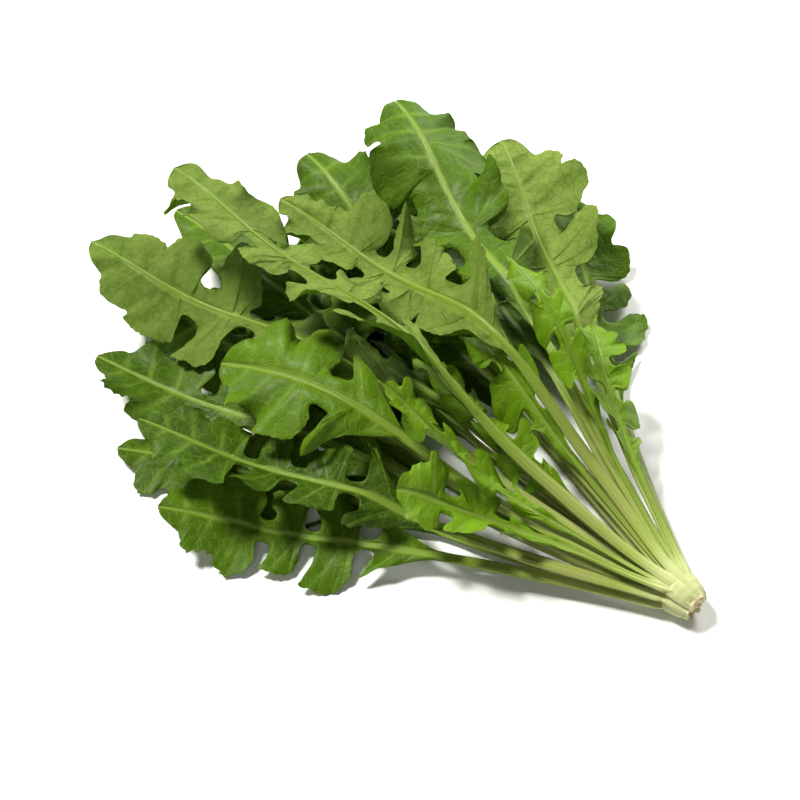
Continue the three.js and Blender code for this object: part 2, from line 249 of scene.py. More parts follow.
# %% The leaf's finish
DEEP_GREEN = (0.018, 0.046, 0.0012)
FRESH_GREEN = (0.078, 0.16, 0.002)
LIME_GREEN = (0.17, 0.33, 0.006)
PALE_UNDER = (0.225, 0.315, 0.058)
DULL_UNDER = (0.1, 0.165, 0.018)
VEIN_TOP = (0.17, 0.29, 0.03)
# underside veins: a greener vein colour, and darker because it also paints the thin shade beside raised
# veins
VEIN_UNDER_AND_SHADE = (0.1, 0.165, 0.016)
RIB_GREEN = (0.16, 0.25, 0.03)
STALK_GREEN = (0.17, 0.25, 0.03)
STALK_PALE = (0.28, 0.36, 0.07)
STALK_CREAM = (0.43, 0.47, 0.2)
STALK_TINT = (0.31, 0.25, 0.13)
LIGHT_THROUGH = (0.26, 0.45, 0.01)


def leaf_finish():
    material, paint = new_material("leaf_green")
    flat = paint.node("ShaderNodeUVMap", output="UV", uv_map="flat_leaf")
    upper = paint.attribute("upper")
    rib = paint.attribute("rib")
    vein = paint.attribute("vein")
    along = paint.attribute("along")
    tone = paint.attribute("tone")

    clouds = paint.noise(flat, 7.0, detail=3.0)
    mottle = paint.noise(flat, 42.0, detail=4.0, roughness=0.7)
    quilt = paint.noise(flat, 17.0, detail=1.0)
    grain = paint.noise(flat, 260.0)
    wander = paint.node("ShaderNodeTexNoise", {"Vector": flat, "Scale": 30.0}, output="Color")
    links = {0: wander, 1: (0.03, 0.03, 0), 2: flat}
    wandered = paint.node("ShaderNodeVectorMath", links, operation="MULTIPLY_ADD")
    net = paint.net(wandered, 28.0, 0.09)
    fine_net = paint.net(wandered, 75.0, 0.12)

    fresh = (clouds * 0.7 + mottle * 0.5 + tone * 0.75).between(0.35, 1.25)
    top = fresh.blend(DEEP_GREEN, FRESH_GREEN)
    top = (tone + clouds * 0.5).between(0.85, 1.35).blend(top, LIME_GREEN)
    top = (net * 0.3 + vein * 0.75).blend(top, VEIN_TOP)
    under = (clouds * 0.5 + mottle * 0.5 + tone * 0.9).between(0.45, 1.15).blend(DULL_UNDER, PALE_UNDER)
    # underside veins and net: their own greener colour together with painted shade, darker than the blade
    under = (net * 0.45 + fine_net * 0.3 + vein * 0.8).blend(under, VEIN_UNDER_AND_SHADE)
    blade = upper.blend(under, top)

    stretched = paint.node("ShaderNodeMapping", {"Vector": flat, "Scale": (1.2, 46.0, 1.0)})
    streak = paint.noise(stretched, 6.0, detail=3.0, roughness=0.6)
    stalk = along.between(-0.02, 0.2).blend(STALK_CREAM, STALK_PALE)
    stalk = along.between(0.1, 0.7).blend(stalk, STALK_GREEN)
    stalk = along.between(0.6, 1.3).blend(stalk, RIB_GREEN)
    stalk = (streak.between(0.45, 0.75) * 0.4).blend(stalk, RIB_GREEN)
    tinted = streak.between(0.35, 0.65) * along.between(0.1, 0.3) * (1 - along.between(0.5, 0.9))
    stalk = (tinted * (1 - tone) * 0.75).blend(stalk, STALK_TINT)

    sunk = net * (upper * 0.5 - 0.2) + fine_net * 0.08
    height = grain * 0.12 + mottle * 0.35 + (quilt * 3.5 - sunk) * (1 - rib) + streak * rib * 0.5
    bump = paint.node("ShaderNodeBump", {"Height": height, "Strength": 0.55, "Distance": 0.0006})
    blade_rough = 0.66 - upper * 0.2 + mottle * 0.12
    surface = paint.node(
        "ShaderNodeBsdfPrincipled",
        {
            "Base Color": rib.blend(blade, stalk),
            "Roughness": blade_rough + rib * (0.36 - blade_rough),
            "Normal": bump,
            "Specular IOR Level": 0.17,
            "Coat Weight": upper * (1 - rib) * 0.04,
            "Coat Roughness": 0.25,
        },
    )
    through = paint.node("ShaderNodeBsdfTranslucent", {"Color": LIGHT_THROUGH})
    whole = paint.node("ShaderNodeMixShader", {0: (1 - rib) * 0.24 + 0.05, 1: surface, 2: through})
    paint.node("ShaderNodeOutputMaterial", {"Surface": whole})
    return material


leaf_green = leaf_finish()
print("leaf finish:", len(leaf_green.node_tree.nodes), "nodes")

# %% [markdown]
# The heap
#
# The leaves of the CAD model follow a few formulas, and a finer leaf has to follow the same ones to lie in
# the same place. They are repeated here for whole arrays of points at once. Lengths are in millimetres,
# with x and y from the middle of the crown's face, and only the finished points are turned into metres.
# The heap has a height over each point of the floor, and each leaf lies at its own share of that height.

# %% The heap
FAN_POINT = 12
HEAP_AT_CROWN = 13.8
HEAP_TOP = 46
HEAP_RISE = 105
HEAP_FALL_FROM = 165
HEAP_FALL_OVER = 110
HEAP_FALL = 0.45
HEAP_HALF_ANGLE = 46
HEAP_LEAST = 0.12
HEAP_WAVE = 0.26
SETTLE = 85
SEAT_ROWS = 7
FULL_TURN = 6.28


def smooth(t):
    t = np.clip(t, 0, 1)
    return t * t * (3 - 2 * t)


def mix(a, b, t):
    return a + (b - a) * t


def chance(seed, place):
    """A number from 0 to 1 that looks random and is always the same for the same two numbers."""
    whole = math.sin(seed * 127.1 + place * 311.7) * 43758.5453
    return whole - math.floor(whole)


def heap_top(x, y):
    """The heap's height over a point of the floor."""
    away = np.hypot(FAN_POINT - x, y) - FAN_POINT
    angle = np.degrees(np.arctan2(y, FAN_POINT - x))
    rise = mix(HEAP_AT_CROWN, HEAP_TOP, smooth(away / HEAP_RISE))
    fall = 1 - HEAP_FALL * smooth((away - HEAP_FALL_FROM) / HEAP_FALL_OVER)
    sides = 1 - (angle / HEAP_HALF_ANGLE) ** 2 * smooth(away / HEAP_RISE)
    return rise * fall * np.maximum(sides, HEAP_LEAST)


def heap_wave(x, y):
    """Broad waves that keep the layers from looking stacked."""
    across = np.sin(y / 12.5 + x / 60 + 0.6)
    along = np.sin(x / 19 - y / 33 + 0.9)
    return 1 + HEAP_WAVE * (0.65 * across + 0.45 * along)


def layer_height(leaf, x, y):
    """The height of a leaf's layer: its row's place at the crown, and its own level further out."""
    away = np.hypot(FAN_POINT - x, y) - FAN_POINT
    settled = smooth(away / SETTLE)
    level = mix((leaf["seat"] + 0.5) / SEAT_ROWS, leaf["level"], settled)
    return level * heap_top(x, y) * mix(1, heap_wave(x, y), settled)


print("heap's height over its middle in mm:", round(float(heap_top(-110, 0)), 1))

# %% [markdown]
# The leaves
#
# Each leaf has a row in this table, as in the CAD model: the way it points and bends, its row on the crown,
# its level in the heap, its length and its kind of blade. Four kinds are enough, because chance varies each
# lobe. Leaf 17 lies a millimetre higher than in the CAD model, clear of a tooth below it. tone says how
# young and yellow a leaf is, which the CAD model has no need of.

# %% The leaves
def a_kind(blade, reach, lobes, cut, lobed, shrink, small, end):
    """A blade: its share of the leaf, half its width, its lobes and how deep they are cut."""
    sizes = {"blade": blade, "reach": reach, "end": end}
    return {**sizes, "lobes": lobes, "cut": cut, "lobed": lobed, "shrink": shrink, "small": small}


BROAD = a_kind(blade=0.56, reach=21, lobes=2, cut=0.72, lobed=0.6, shrink=0.6, small=0.8, end=1.05)
LACY = a_kind(blade=0.6, reach=18, lobes=3, cut=0.8, lobed=0.66, shrink=0.72, small=0.75, end=0.95)
SIDE = a_kind(blade=0.56, reach=17, lobes=3, cut=0.84, lobed=0.62, shrink=0.8, small=0.7, end=1)
YOUNG = a_kind(blade=0.6, reach=10, lobes=4, cut=0.8, lobed=0.7, shrink=0.9, small=0.5, end=0.9)


def a_leaf(kind, fan, bend, seat, level, length, **other):
    """fan and bend are in degrees, length in mm, seat is the crown's row, level a share of the heap."""
    place = {"fan": fan, "bend": bend, "seat": seat, "level": level, "length": length}
    return {"curl": 0, "roll": 0, "fold": 0, "turned": False, "tone": None, **kind, **place, **other}


LEAVES = [
    a_leaf(BROAD, -12, 6, 0, 0, 205),
    a_leaf(BROAD, 12, -5, 0, 0, 198),
    a_leaf(LACY, -23, -4, 1, 0.1, 200, lobes=2),
    a_leaf(LACY, -1, 2, 1, 0.15, 236),
    a_leaf(BROAD, 22, 3, 1, 0.12, 205),
    a_leaf(SIDE, -31, -4, 2, 0.3, 172, curl=6),
    a_leaf(LACY, -13, 3, 2, 0.31, 238),
    a_leaf(BROAD, 8, 2, 2, 0.31, 228),
    a_leaf(SIDE, 31, 4, 2, 0.24, 176, curl=8),
    a_leaf(LACY, -21, 2, 3, 0.44, 222, curl=4),
    a_leaf(LACY, -3, 0, 3, 0.47, 244, curl=3),
    a_leaf(BROAD, 17, 3, 3, 0.42, 214, curl=7),
    a_leaf(SIDE, -29, 2, 4, 0.55, 186, roll=-20, fold=4, curl=5),
    a_leaf(LACY, -11, 0, 4, 0.63, 250, curl=12, roll=5, turned=True),
    a_leaf(BROAD, 7, 2, 4, 0.63, 226, curl=10),
    a_leaf(BROAD, 27, 0, 4, 0.55, 196, roll=26, curl=8, turned=True),
    a_leaf(BROAD, -18, 0, 5, 0.81, 172, blade=0.42, lobes=1, lobed=0.4, fold=6, tone=0.75),
    a_leaf(YOUNG, -5, 1, 5, 0.79, 116, reach=8, tone=0.9),
    a_leaf(BROAD, 16, 2, 5, 0.78, 220, cut=0.6, curl=12, roll=24, tone=0.55),
    a_leaf(YOUNG, -25, -4, 6, 0.85, 92, reach=11, lobes=2, curl=4, fold=3, tone=0.95),
    a_leaf(LACY, -8, 4, 6, 1.1, 232, blade=0.62, roll=-15, curl=6, turned=True),
    a_leaf(BROAD, 8, -6, 6, 0.92, 208, reach=17, lobes=3, roll=10, turned=True),
    a_leaf(YOUNG, 24, 5, 6, 0.86, 96, lobes=3, curl=4, fold=3, tone=0.95),
    a_leaf(YOUNG, 5, 4, 5, 0.76, 134, reach=8, lobes=3, tone=0.85),
    a_leaf(YOUNG, -17.9, 3, 6, 1.08, 108, reach=7, lobes=3, fold=2, tone=1),
    a_leaf(YOUNG, 17.4, -2, 6, 1.06, 118, reach=7, lobes=3, curl=5, fold=2, tone=0.95),
]
OLDEST_TONE = 0.2
YOUNGEST_TONE = 0.65
for number, leaf in enumerate(LEAVES):
    leaf["seed"] = number + 1
    if leaf["tone"] is None:
        leaf["tone"] = mix(OLDEST_TONE, YOUNGEST_TONE, chance(leaf["seed"], 96))
print("leaves:", len(LEAVES))

# %% [markdown]
# A leaf's line and lift
#
# The rib's line on the floor is stepped off from the crown, turning a little more at each step. Then any
# point of the leaf is found from how far along it is, s, and how far beside the rib, d. A real stalk also
# sways a little from side to side. On top of its layer a blade has its own lift: its edge is ruffled, it is
# cupped, rolled or folded, and its tip curls up.

# %% A leaf's line and lift
STALK_GAP = 0.35
STALK_WIDTH = (3.2, 4.7, 3.5)
STALK_DEPTH = (1.5, 2.7, 2.3)
STALK_FULL_AT = 42
FULL_REACH = 18
RIB_AT_TIP = 0.3
FLARE = 0.5
FLARE_LENGTH = 12
INNER_SHRINK = 0.35
INNER_LENGTH = 5
SPINE_STEPS = 60
LIFT_OVER = 25
CUP = (-1.2, 1.8)
CURL_FROM = 0.68
RUFFLE = (1.2, 2.8)
RUFFLE_LENGTH = 5.5
SWAY = 1.2
SWAY_LENGTH = 36


def blade_start(leaf):
    return leaf["length"] * (1 - leaf["blade"])


def spine_of(leaf):
    """The rib's line on the floor and its heading at each step."""
    fan = math.radians(leaf["fan"])
    steps = np.arange(SPINE_STEPS + 1) / SPINE_STEPS
    heading = fan + np.radians(leaf["bend"] * steps**2 * 3)
    step = leaf["length"] / SPINE_STEPS
    x = -STALK_GAP - STALK_WIDTH[0] / 2 * abs(math.sin(fan))
    y = (FAN_POINT - x) * math.tan(fan)
    xs = x - step * np.concatenate([[0], np.cumsum(np.cos(heading[:-1]))])
    ys = y + step * np.concatenate([[0], np.cumsum(np.sin(heading[:-1]))])
    return xs, ys, heading


def under_leaf(leaf, s, d):
    """The point of the floor under a leaf's point."""
    xs, ys, heading = leaf["spine"]
    at = s / leaf["length"] * SPINE_STEPS
    i = np.clip(np.floor(at), 0, SPINE_STEPS - 1).astype(int)
    t = at - i
    way = mix(heading[i], heading[i + 1], t)
    sway = SWAY * np.sin(s / SWAY_LENGTH + FULL_TURN * chance(leaf["seed"], 93)) * smooth(s / STALK_FULL_AT)
    side = d + sway
    return mix(xs[i], xs[i + 1], t) + side * np.sin(way), mix(ys[i], ys[i + 1], t) + side * np.cos(way)


def own_lift(leaf, s, d):
    """How far a leaf's point is above its layer."""
    in_blade = smooth((s - blade_start(leaf)) / LIFT_OVER)
    across = np.abs(d) / leaf["reach"]
    phase = FULL_TURN * np.where(d > 0, chance(leaf["seed"], 91), chance(leaf["seed"], 92))
    ruffle = np.sin(s / RUFFLE_LENGTH + phase) * across**2
    cup = mix(*CUP, chance(leaf["seed"], 90)) * across**1.5
    side = (leaf["roll"] > 0) - (leaf["roll"] < 0)
    raised = (leaf["reach"] + side * d) * math.tan(math.radians(abs(leaf["roll"])))
    curl = leaf["curl"] * smooth((s / leaf["length"] - CURL_FROM) / (1 - CURL_FROM)) ** 1.5
    folded = leaf["fold"] * across
    return in_blade * (mix(*RUFFLE, leaf["level"]) * ruffle + cup + raised + folded) + curl


def stalk_at(leaf, s):
    """Half the stalk's or rib's width, and its depth."""
    start = blade_start(leaf)
    out = smooth(s / STALK_FULL_AT)
    on = np.clip((s - STALK_FULL_AT) / (start - STALK_FULL_AT), 0, 1)
    taper = mix(1, RIB_AT_TIP, np.clip((s - start) / (leaf["length"] - start), 0, 1))
    size = taper * min(1, leaf["reach"] / FULL_REACH)
    width = mix(mix(STALK_WIDTH[0], STALK_WIDTH[1], out), STALK_WIDTH[2], on) * size
    depth = mix(mix(STALK_DEPTH[0], STALK_DEPTH[1], out), STALK_DEPTH[2], on) * size
    flare = 1 + FLARE * np.exp(-np.maximum(s, 0) / FLARE_LENGTH)
    flare = flare * (1 - INNER_SHRINK * smooth(-s / INNER_LENGTH))
    return width / 2 * flare, depth * flare


# %% [markdown]
# The lobes
#
# Shepherd's purse is known by its cut leaves. The blade starts as a long wedge, then deep round bays run
# in towards the rib and leave blunt lobes between them, and one larger lobe ends the leaf. Each kind of
# lobe is a smooth curve through a few points, and chance moves every point a little, so no two lobes are
# the same.

# %% The lobes
WING = 1.7
# Each point: a turn from 0 to 1 round the lobe, how far along the lobe it is, and how far out.
WEDGE = [(0, 0, 0), (0.25, 0.3, 0.2), (0.48, 0.56, 0.52), (0.66, 0.76, 0.86), (0.77, 0.9, 1)]
WEDGE += [(0.85, 0.9, 0.8), (0.91, 0.82, 0.46), (0.96, 0.83, 0.1), (1, 0.97, 0)]
BLOCK = [(0, 0.03, 0), (0.07, 0.12, 0.1), (0.14, 0.1, 0.38), (0.25, 0.1, 0.7), (0.4, 0.28, 0.92)]
BLOCK += [(0.6, 0.58, 1), (0.75, 0.84, 0.92), (0.85, 0.86, 0.6), (0.92, 0.79, 0.3), (0.96, 0.82, 0.08)]
BLOCK += [(1, 0.97, 0)]
END = [(0, 0.02, 0), (0.05, 0.06, 0.1), (0.1, 0.04, 0.4), (0.18, 0.07, 0.76), (0.28, 0.22, 1)]
END += [(0.38, 0.4, 0.98), (0.46, 0.46, 0.78), (0.57, 0.6, 0.78), (0.67, 0.73, 0.7), (0.75, 0.77, 0.5)]
END += [(0.86, 0.88, 0.34), (0.95, 0.97, 0.16), (1, 1, 0)]
END_NOTCHES = (6, 9)
NOTCH_DEPTH = 0.24
LOBE_VARIES = (0.1, 0.26)
END_VARIES = (0.05, 0.2)
END_NARROWEST = 0.5


def smooth_curve(points, turn):
    """Ways along and out at each turn, on a smooth curve through the points."""
    points = np.array(points)
    knots = points[:, 0]
    values = points[:, 1:]
    slopes = np.empty_like(values)
    slopes[1:-1] = (values[2:] - values[:-2]) / (knots[2:] - knots[:-2])[:, None]
    slopes[0] = (values[1] - values[0]) / (knots[1] - knots[0])
    slopes[-1] = (values[-1] - values[-2]) / (knots[-1] - knots[-2])
    i = np.clip(np.searchsorted(knots, turn, side="right") - 1, 0, len(knots) - 2)
    gap = (knots[i + 1] - knots[i])[:, None]
    t = (turn - knots[i])[:, None] / gap
    start = (2 * t**3 - 3 * t**2 + 1) * values[i] + (t**3 - 2 * t**2 + t) * gap * slopes[i]
    end = (3 * t**2 - 2 * t**3) * values[i + 1] + (t**3 - t**2) * gap * slopes[i + 1]
    return (start + end).T


def varied(leaf, points, place, along, out):
    """The points of a lobe, each moved a little by chance where it isn't kept near the rib."""
    moved = []
    for i, (turn, a, o) in enumerate(points):
        free = 1 < i < len(points) - 2
        a += along * (chance(leaf["seed"], place + i + 0.25) - 0.5) * free
        o *= 1 + out * (chance(leaf["seed"], place + i + 0.65) - 0.5) * free
        moved.append((turn, a, o))
    return moved


def lobe_bounds(leaf):
    """Where along the leaf each lobe starts, and where the end lobe does."""
    sizes = leaf["shrink"] ** np.arange(leaf["lobes"])
    shares = np.concatenate([[0], np.cumsum(sizes) / sizes.sum()])
    return blade_start(leaf) + leaf["length"] * leaf["blade"] * leaf["lobed"] * shares


def foot_at(leaf, k):
    """How far out of the rib the bay before lobe k ends."""
    grown = mix(0.8, 1.1, k / leaf["lobes"]) * mix(0.7, 1.4, chance(leaf["seed"], 10 + k))
    return max(leaf["reach"] * (1 - leaf["cut"]) * grown, WING) if k else WING


def lobe_edge(leaf, side, k, turn):
    """The edge of one side's lobe k: its place on the rib, and how far along and beside the rib it is."""
    low, high = lobe_bounds(leaf)[k : k + 2]
    place = 100 + 40 * k + (0 if side > 0 else 20)
    along, out = smooth_curve(varied(leaf, BLOCK if k else WEDGE, place, *LOBE_VARIES), turn)
    foot = mix(foot_at(leaf, k), foot_at(leaf, k + 1), turn)
    varies = mix(0.8, 1.2, chance(leaf["seed"], place + 0.1))
    grown = mix(leaf["small"], 1, (k + 1) / leaf["lobes"]) * varies
    d = foot + (leaf["reach"] * grown - foot) * out.clip(0)
    lean = mix(0.1, 0.4, chance(leaf["seed"], 55)) + 0.1 * (chance(leaf["seed"], place + 0.35) - 0.5)
    s = mix(low, high, along) + lean * (d - foot) * np.sin(np.pi * turn)
    return mix(low, high, turn), s, side * d


def end_edge(leaf, side, turn):
    """The same for one side of the end lobe, with two notches of chance depth."""
    low = lobe_bounds(leaf)[-1]
    place = 400 + (0 if side > 0 else 20)
    points = varied(leaf, END, place, *END_VARIES)
    deep = NOTCH_DEPTH * chance(leaf["seed"], place + 0.9)
    for i in END_NOTCHES:
        points[i] = (points[i][0], points[i][1], points[i][2] * (1 - deep))
    along, out = smooth_curve(points, turn)
    foot = foot_at(leaf, leaf["lobes"]) * (1 - turn)
    wide = leaf["reach"] * leaf["end"] * mix(0.9, 1.12, chance(leaf["seed"], place + 0.1))
    d = np.maximum(foot + (wide - foot) * out.clip(0), END_NARROWEST)
    return mix(low, leaf["length"], turn), mix(low, leaf["length"], along), side * d


def edge_of(leaf, side, k, turn):
    """The edge of lobe k, or of the end lobe, which comes after the last."""
    return lobe_edge(leaf, side, k, turn) if k < leaf["lobes"] else end_edge(leaf, side, turn)


tips = [lobe_bounds(leaf)[-1] for leaf in LEAVES]
print("the end lobes start between", round(min(tips)), "and", round(max(tips)), "mm from the crown")

# %% [markdown]
# Rows and teeth
#
# The rows of the mesh run from the rib to this edge. They are spaced evenly along the edge, since a real
# edge is equally sharp everywhere, and three close rows follow each side vein, which keeps it crisp. Small
# forward teeth and still smaller scallops are pushed out along the edge, where it is clear of the rib.

# %% Rows and teeth
LOBE_SAMPLES = 52
END_SAMPLES = 84
VEIN_TURN = 0.02
PILLOW_TURN = 0.13
WEDGE_VEINS = (0.36, 0.72)
BLOCK_VEINS = (0.3, 0.62)
END_VEINS = (0.17, 0.36, 0.6, 0.78)
TEETH_EVERY = 11
TEETH_HEIGHT = 1.5
TOOTH_FRONT = 0.8
SCALLOP_EVERY = 4.6
SCALLOP_HEIGHT = 0.5


def even_turns(leaf, k, count, veins):
    """Turns that lie evenly along both edges of lobe k, with three close ones at each vein."""
    fine = np.linspace(0, 1, 400)
    way = np.zeros_like(fine)
    for side in (1, -1):
        s, d = edge_of(leaf, side, k, fine)[1:]
        way[1:] += np.cumsum(np.hypot(np.diff(s), np.diff(d)))
    turns = np.interp(np.linspace(0, way[-1], count, endpoint=False), way, fine)
    near = [turn + shift for turn in veins for shift in (-VEIN_TURN, 0, VEIN_TURN)]
    kept = [turn for turn in turns if min(abs(turn - n) for n in near) > 0.4 * VEIN_TURN]
    return np.array(sorted(kept + near))


def with_teeth(leaf, side, s, d):
    """Pushes forward teeth and scallops out of one edge, along its normal."""
    ds, dd = np.gradient(s), np.gradient(np.abs(d))
    size = np.hypot(ds, dd) + 1e-9
    arc = np.cumsum(size)
    seed = leaf["seed"] + (0.5 if side < 0 else 0)
    small_leaf = min(1, leaf["reach"] / FULL_REACH)
    every = TEETH_EVERY * (1 + 0.3 * np.sin(arc / 23 + FULL_TURN * chance(seed, 80)))
    saw = (arc / every + chance(seed, 81)) % 1
    tall = TEETH_HEIGHT * small_leaf * (0.55 + 0.45 * np.sin(arc / 14 + seed * 2.3))
    clear = smooth((np.abs(d) / leaf["reach"] - 0.3) / 0.4) * smooth((leaf["length"] - s) / 9)
    tooth = np.where(saw < TOOTH_FRONT, (saw / TOOTH_FRONT) ** 3, (1 - saw) / (1 - TOOTH_FRONT))
    forward = smooth(ds / size / 0.4)
    scallop = np.abs(np.sin(np.pi * (arc / SCALLOP_EVERY + np.sin(arc / 9 + seed)))) - 0.6
    push = tall * clear * tooth * forward + SCALLOP_HEIGHT * small_leaf * clear * scallop
    return s - dd / size * push, d + side * ds / size * push


def near_veins(turns, veins, width):
    return sum(np.exp(-(((turns - vein) / width) ** 2)) for vein in veins)


def blade_rows(leaf):
    """Rib places and both edges, and each row's share of a vein and of a pillow, its lobe and its turn."""
    parts = []
    for k in range(leaf["lobes"] + 1):
        veins, samples = BLOCK_VEINS if k else WEDGE_VEINS, LOBE_SAMPLES
        if k == leaf["lobes"]:
            veins, samples = END_VEINS, END_SAMPLES
        turns = even_turns(leaf, k, samples, veins)
        if k == leaf["lobes"]:
            turns = np.append(turns, 1.0)
        near = near_veins(turns, veins, VEIN_TURN)
        pillow = 1 - np.clip(near_veins(turns, veins, PILLOW_TURN), 0, 1)
        r, s_right, d_right = edge_of(leaf, 1, k, turns)
        s_left, d_left = edge_of(leaf, -1, k, turns)[1:]
        parts.append([r, s_right, d_right, s_left, d_left, near, pillow, np.full_like(turns, k), turns])
    rows = [np.concatenate(column) for column in zip(*parts)]
    rows[1:3] = with_teeth(leaf, 1, rows[1], rows[2])
    rows[3:5] = with_teeth(leaf, -1, rows[3], rows[4])
    return rows


print("rows in the first leaf's blade:", len(blade_rows(LEAVES[0])[0]))

# %% [markdown]
# Rows that don't cross
#
# Between two deep bays the straight way from the edge to the rib would run through a neighbour, and the
# mesh would fold over. So each row may start elsewhere on the rib, as a side vein does: the row's line is
# kept on the right side of every edge point that is nearer to the rib. The lobes are then bent up or down
# a little and twisted, each by its own chance, and the blade is dented all over, because no fresh leaf is
# flat.

# %% Rows that don't cross
STALK_INTO_CROWN = 5.0
STALK_RINGS = 44
WING_RINGS = 10
WING_GROWTH = 14
RIB_NARROW = 0.72
RIB_SHIFT = 5.0
SHIFT_OVER = 20
ROW_BEND = 1.08
ROW_GAP = 0.03
LEVEL_ROW = 0.97
LOBE_LIFT = 5.5
LOBE_TWIST = 4
CRINKLE_SIZE = 2.6


def all_rows(leaf):
    """Stalk and blade rows together, with how far the wings are grown in each."""
    start = blade_start(leaf)
    stalk = np.linspace(-STALK_INTO_CROWN, start - WING_GROWTH, STALK_RINGS)
    growing = np.linspace(start - WING_GROWTH, start, WING_RINGS + 2)[1:-1]
    before = np.concatenate([stalk, growing])
    half = stalk_at(leaf, before)[0]
    grown = smooth((before - start + WING_GROWTH) / WING_GROWTH)
    none = np.zeros_like(before)
    edge = mix(half, WING, grown)
    lead = [before, before, edge, before, -edge, none, none, none - 1, none]
    rows = [np.concatenate(pair) for pair in zip(lead, blade_rows(leaf))]
    return rows, np.concatenate([grown, np.ones(len(rows[0]) - len(before))])


def rib_places(leaf, r, s, d):
    """Where each row of one side starts on the rib, so that no edge point nearer to the rib is crossed."""
    half = stalk_at(leaf, r)[0] * RIB_NARROW
    out = np.maximum(np.abs(d) - half, 0.01)
    inside = smooth((r - blade_start(leaf)) / SHIFT_OVER) * smooth((leaf["length"] - r) / SHIFT_OVER)
    wish = r - RIB_SHIFT * inside * min(1, leaf["reach"] / FULL_REACH)
    nearer = (np.abs(d)[None, :] - half[:, None]) / out[:, None]
    share = np.clip(nearer, 0, LEVEL_ROW) ** ROW_BEND
    limit = (s[None, :] - s[:, None] * share) / (1 - share)
    number = np.arange(len(r))
    counts = (nearer < LEVEL_ROW) & (out[:, None] > 0.3)
    behind = counts & (number[None, :] < number[:, None])
    ahead = counts & (number[None, :] > number[:, None])
    low = np.where(behind, limit, -np.inf).max(axis=1) + ROW_GAP
    high = np.where(ahead, limit, np.inf).min(axis=1) - ROW_GAP
    high = np.minimum.accumulate((high - ROW_GAP * number)[::-1])[::-1] + ROW_GAP * number
    places = np.minimum(wish, high)
    for i in range(len(places)):
        places[i] = max(places[i], low[i], places[i - 1] + ROW_GAP if i else -np.inf)
    return places


def lobe_bends(leaf, lobe, turn, side):
    """How much one side's lobes are lifted and twisted out of the leaf's surface, row by row."""
    lift = np.zeros_like(turn)
    for k in range(leaf["lobes"] + 1):
        place = 100 + 4 * k + (0 if side > 0 else 2)
        up = LOBE_LIFT * (2 * chance(leaf["seed"], place) - 1)
        twist = LOBE_TWIST * (2 * chance(leaf["seed"], place + 1) - 1)
        bend = (up + 2 * twist * np.cos(np.pi * turn)) * np.sin(np.pi * turn) ** 2
        lift = np.where(lobe == k, bend, lift)
    return lift * min(1, leaf["reach"] / FULL_REACH)


def crinkle(leaf, s, d):
    """The blade's own soft dents and blisters, from -1 to 1."""
    start = FULL_TURN * chance(leaf["seed"], 96)
    across = np.sin(d / CRINKLE_SIZE + 1.2 * np.sin(s / (CRINKLE_SIZE * 1.7) + start))
    along = np.sin(s / (CRINKLE_SIZE * 1.2) + 1.4 * np.sin(d / (CRINKLE_SIZE * 1.4) + start * 2) + start)
    return across * along


first_rows, first_winged = all_rows(LEAVES[0])
shift = rib_places(LEAVES[0], *first_rows[:3]) - first_rows[0]
print("rows of the first leaf are moved along its rib by up to", round(float(np.abs(shift).max()), 1), "mm")

# %% [markdown]
# One leaf's surface
#
# A leaf could be a flat sheet given a thickness, but its rib is thick below and grooved above, and its
# stalk is round. So the leaf is one closed skin: rings of points from the crown to the tip, round in the
# stalk and pulled out flat in the blade. A ring goes over the upper face from the right edge to the left
# and back below.

# %% One leaf's surface
ACROSS_WING = np.array([0.08, 0.2, 0.36, 0.54, 0.71, 0.86, 0.96, 1.0])
ACROSS_RIB = np.array([1, 0.6, 0, -0.6, -1.0])
WING_COUNT = len(ACROSS_WING)
FACE_SIDE = np.concatenate([np.ones(WING_COUNT), ACROSS_RIB, -np.ones(WING_COUNT)])
FACE_OUT = np.concatenate([ACROSS_WING[::-1], np.zeros(len(ACROSS_RIB)), ACROSS_WING])
FACE_POINTS = len(FACE_SIDE)
BLADE_MIDDLE = 0.5
BLADE_EDGE = 0.2
STALK_UP = 0.42
STALK_GROOVE = 0.2
GROOVE_WIDTH = 0.35
STALK_RIDGES = 9
STALK_RIDGE = 0.045
RIB_SINK = 0.3
RIB_BELOW = 0.85
FILLET = 0.18
FILLET_WIDTH = 0.5
VEIN_RAISE = 0.4
VEIN_SINK = 0.16
PUCKER = 0.6
CRINKLE = 0.5
CRINKLE_FROM = 2.5
EDGE_WAVE = 2.2
EDGE_WAVE_LENGTH = 3
TWIST = 4.5
TWIST_LENGTH = 13
CLEARANCE = 0.045
LEAST_ROOM = 0.3
MOST_ROOM = 1.5
TOP_FROM = 62
TOP_ROOM = 9
RIB_FADE = 0.25


def blade_ring(side, out, half, ribs, right, left):
    """How far along the leaf and beside its rib the blade's points are, and how far out its edge is."""
    edge_s = np.where(side > 0, right[0], left[0])
    edge_d = np.where(side > 0, right[1], left[1])
    rib_place = mix(ribs[1], ribs[0], np.clip(side + 1, 0, 2) / 2)
    wing_s = rib_place + (edge_s - rib_place) * out**ROW_BEND
    wing_d = np.sign(side) * (half + np.maximum(np.abs(edge_d) - half, 0.02) * out)
    on_rib = out == 0
    return np.where(on_rib, rib_place, wing_s), np.where(on_rib, side * half, wing_d), edge_d


